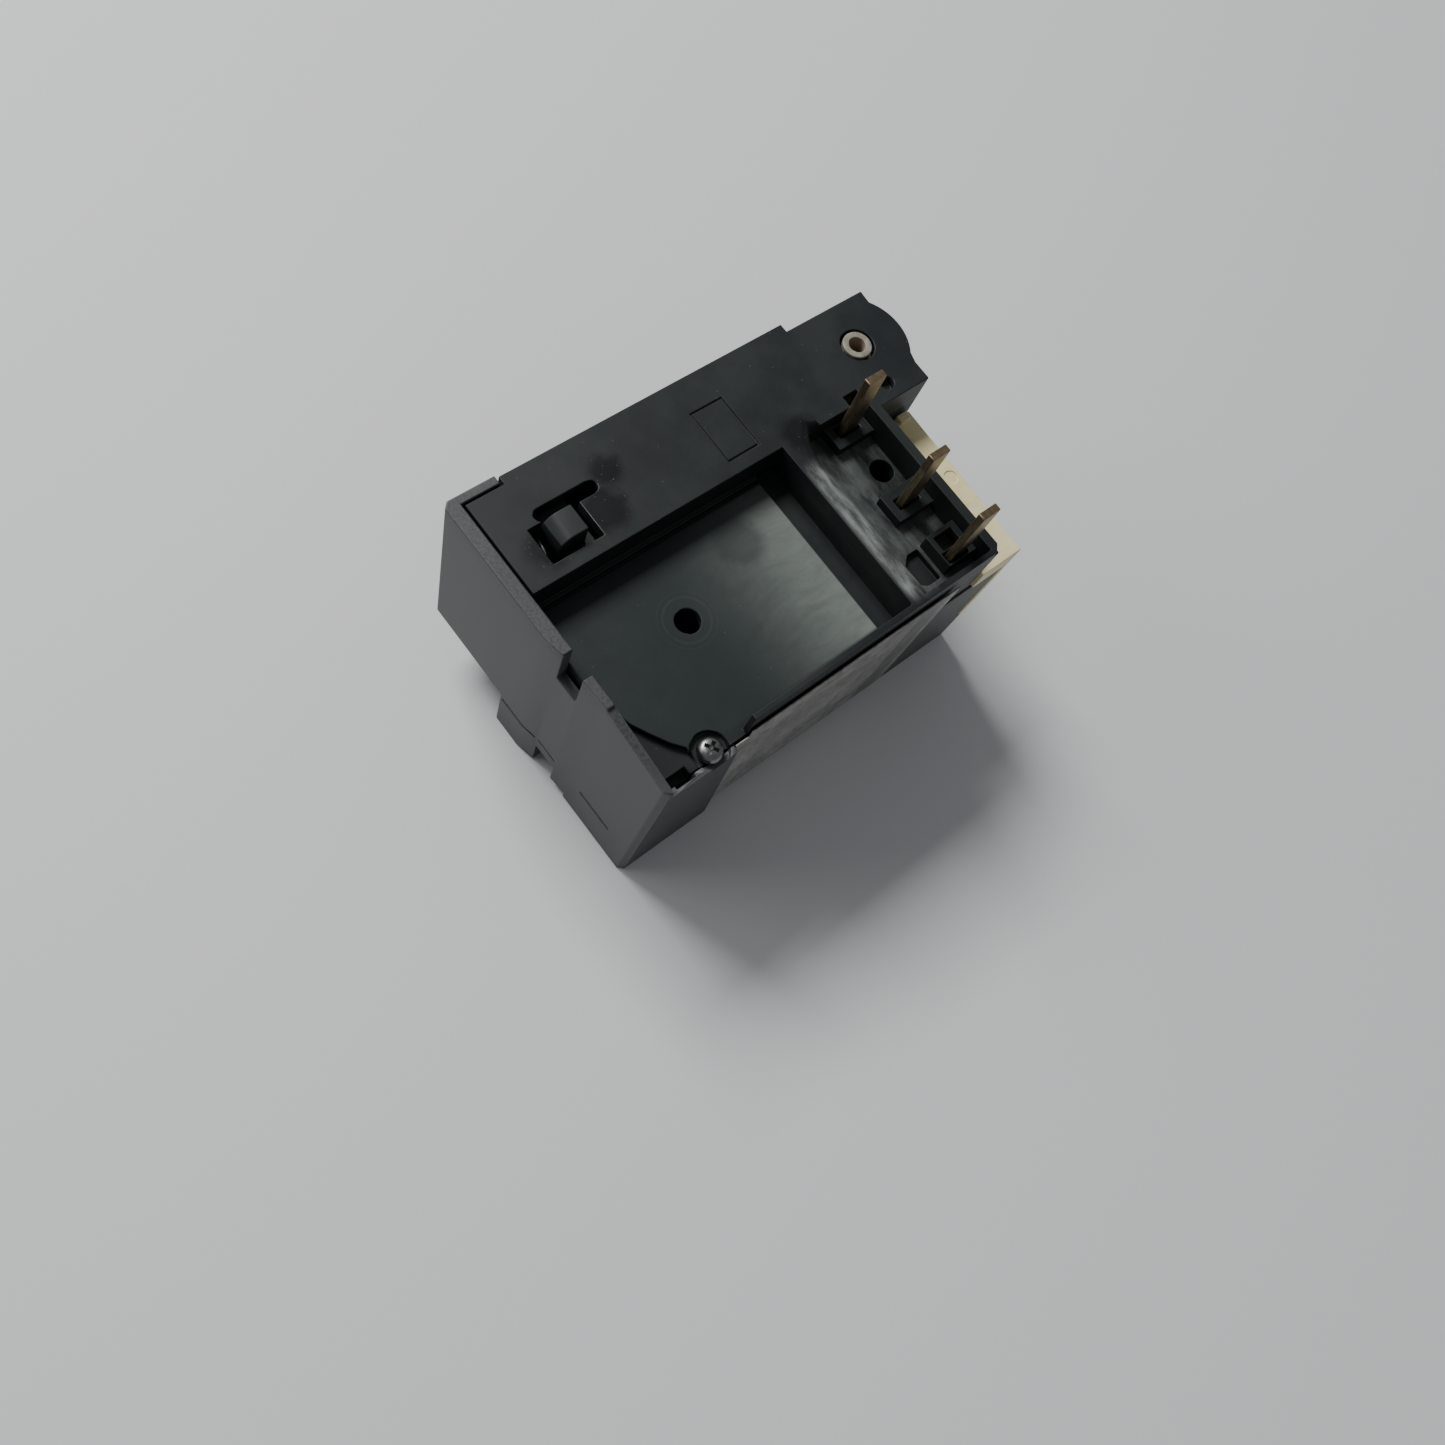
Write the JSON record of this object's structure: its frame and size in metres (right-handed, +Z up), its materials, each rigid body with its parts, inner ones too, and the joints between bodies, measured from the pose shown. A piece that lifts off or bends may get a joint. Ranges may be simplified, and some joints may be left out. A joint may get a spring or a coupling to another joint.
{
  "type": "motor protection breaker",
  "caption": "Plug-in thermal overload relay for a motor circuit: flat casing with contact blades, a current dial, stop and reset buttons and screw terminals.",
  "frame": {"origin": "centre of the bounding box at the resting face, Z=0", "axes": "+X to the mechanism side, away from the label side; -Y to the front with the dial, buttons and terminals; +Z up, along the contact blades"},
  "size_m": [0.045, 0.075, 0.0465],
  "materials": {
    "black_thermoset": "black moulded thermoset, satin",
    "grey_thermoplastic": "dark grey moulded thermoplastic, satin",
    "cream_thermoplastic": "cream moulded thermoplastic, satin",
    "label_foil": "worn grey foil label with no print",
    "red_button": "red moulded plastic",
    "blue_button": "blue moulded plastic",
    "yellow_flag": "yellow moulded plastic",
    "ivory_dial": "aged ivory moulded plastic",
    "natural_nylon": "natural moulded nylon",
    "tinned_bronze": "browned bronze",
    "brass": "brass, unplated",
    "zinc_steel": "zinc-plated steel",
    "bimetal_strip": "bimetal strip",
    "heater_ribbon": "oxidised resistance ribbon"
  },
  "bodies": {
    "case": {"top_housing": "black_thermoset", "side_cover": "black_thermoset", "rear_cover": "grey_thermoplastic", "base": "grey_thermoplastic", "front_cover": "cream_thermoplastic", "label_plate": "label_foil", "mechanism_frame": "natural_nylon", "line_blade_1": "tinned_bronze", "line_blade_2": "tinned_bronze", "line_blade_3": "tinned_bronze", "load_terminal_1": "brass", "load_terminal_2": "brass", "load_terminal_3": "brass", "aux_terminal_1": "brass", "aux_terminal_2": "brass", "aux_terminal_3": "brass", "aux_terminal_4": "brass", "nc_contact_leaf": "brass", "no_contact_leaf": "brass", "cover_screw": "zinc_steel", "stop_spring": "zinc_steel", "reset_spring": "zinc_steel", "latch_spring": "zinc_steel", "lever_pin": "zinc_steel", "rocker_pin": "zinc_steel", "bimetal_1": "bimetal_strip", "bimetal_2": "bimetal_strip", "bimetal_3": "bimetal_strip", "heater_1": "heater_ribbon", "heater_2": "heater_ribbon", "heater_3": "heater_ribbon"},
    "setting_dial": {"setting_dial": "ivory_dial"},
    "stop_button": {"stop_button": "red_button"},
    "reset_button": {"reset_button": "blue_button"},
    "mounting_latch": {"mounting_latch": "black_thermoset"},
    "trip_slide": {"trip_slide": "natural_nylon"},
    "trip_lever": {"trip_lever": "natural_nylon"},
    "contact_rocker": {"contact_rocker": "natural_nylon"},
    "trip_indicator": {"trip_indicator": "yellow_flag"},
    "load_clamp_1": {"load_screw_1": "zinc_steel", "clamp_washer_1": "zinc_steel"},
    "load_clamp_2": {"load_screw_2": "zinc_steel", "clamp_washer_2": "zinc_steel"},
    "load_clamp_3": {"load_screw_3": "zinc_steel", "clamp_washer_3": "zinc_steel"},
    "aux_clamp_1": {"aux_screw_1": "zinc_steel"},
    "aux_clamp_2": {"aux_screw_2": "zinc_steel"},
    "aux_clamp_3": {"aux_screw_3": "zinc_steel"},
    "aux_clamp_4": {"aux_screw_4": "zinc_steel"}
  },
  "joints": [
    {"name": "dial_turn", "type": "hinge", "parent": "case", "child": "setting_dial", "pos_m": [0.01404, -0.02544, 0.0312], "axis": [0, 0, 1], "range_deg": [-120, 120]},
    {"name": "stop_press", "type": "slide", "parent": "case", "child": "stop_button", "axis": [0, 1, 0], "range_m": [0, 0.002], "stiffness_N_per_m": 400, "springref_m": -0.001, "deforming": ["stop_spring"]},
    {"name": "reset_press", "type": "slide", "parent": "case", "child": "reset_button", "axis": [0, 1, 0], "range_m": [0, 0.002], "stiffness_N_per_m": 400, "springref_m": -0.001, "deforming": ["reset_spring"]},
    {"name": "latch_slide", "type": "slide", "parent": "case", "child": "mounting_latch", "axis": [0, 1, 0], "range_m": [0, 0.0014], "stiffness_N_per_m": 600, "springref_m": -0.0005, "deforming": ["latch_spring"]},
    {"name": "trip_push", "type": "slide", "parent": "case", "child": "trip_slide", "axis": [1, 0, 0], "range_m": [0, 0.0015], "stiffness_N_per_m": 20, "springref_m": -0.001},
    {"name": "lever_tip", "type": "hinge", "parent": "case", "child": "trip_lever", "pos_m": [0.0105, 0.006, 0.02], "axis": [0, 1, 0], "range_deg": [0, 8.75]},
    {"name": "rocker_tip", "type": "hinge", "parent": "case", "child": "contact_rocker", "pos_m": [0.01519, -0.005, 0.0179], "axis": [-1, 0, 0], "range_deg": [0, 8.4]},
    {"name": "indicator_slide", "type": "slide", "parent": "case", "child": "trip_indicator", "axis": [0, -1, 0], "range_m": [0, 0.0016]},
    {"name": "load_clamp_1_open", "type": "slide", "parent": "case", "child": "load_clamp_1", "axis": [0, -1, 0], "range_m": [0, 0.0025]},
    {"name": "load_clamp_2_open", "type": "slide", "parent": "case", "child": "load_clamp_2", "axis": [0, -1, 0], "range_m": [0, 0.0025]},
    {"name": "load_clamp_3_open", "type": "slide", "parent": "case", "child": "load_clamp_3", "axis": [0, -1, 0], "range_m": [0, 0.0025]},
    {"name": "aux_clamp_1_open", "type": "slide", "parent": "case", "child": "aux_clamp_1", "axis": [0, -1, 0], "range_m": [0, 0.0015]},
    {"name": "aux_clamp_2_open", "type": "slide", "parent": "case", "child": "aux_clamp_2", "axis": [0, -1, 0], "range_m": [0, 0.0015]},
    {"name": "aux_clamp_3_open", "type": "slide", "parent": "case", "child": "aux_clamp_3", "axis": [0, -1, 0], "range_m": [0, 0.0015]},
    {"name": "aux_clamp_4_open", "type": "slide", "parent": "case", "child": "aux_clamp_4", "axis": [0, -1, 0], "range_m": [0, 0.0015]}
  ],
  "couplings": [
    {"joint": "lever_tip", "follows": "trip_push", "rad_per_m": 101.5},
    {"joint": "rocker_tip", "follows": "trip_push", "rad_per_m": 97},
    {"joint": "indicator_slide", "follows": "trip_push", "ratio": 1.06}
  ]
}
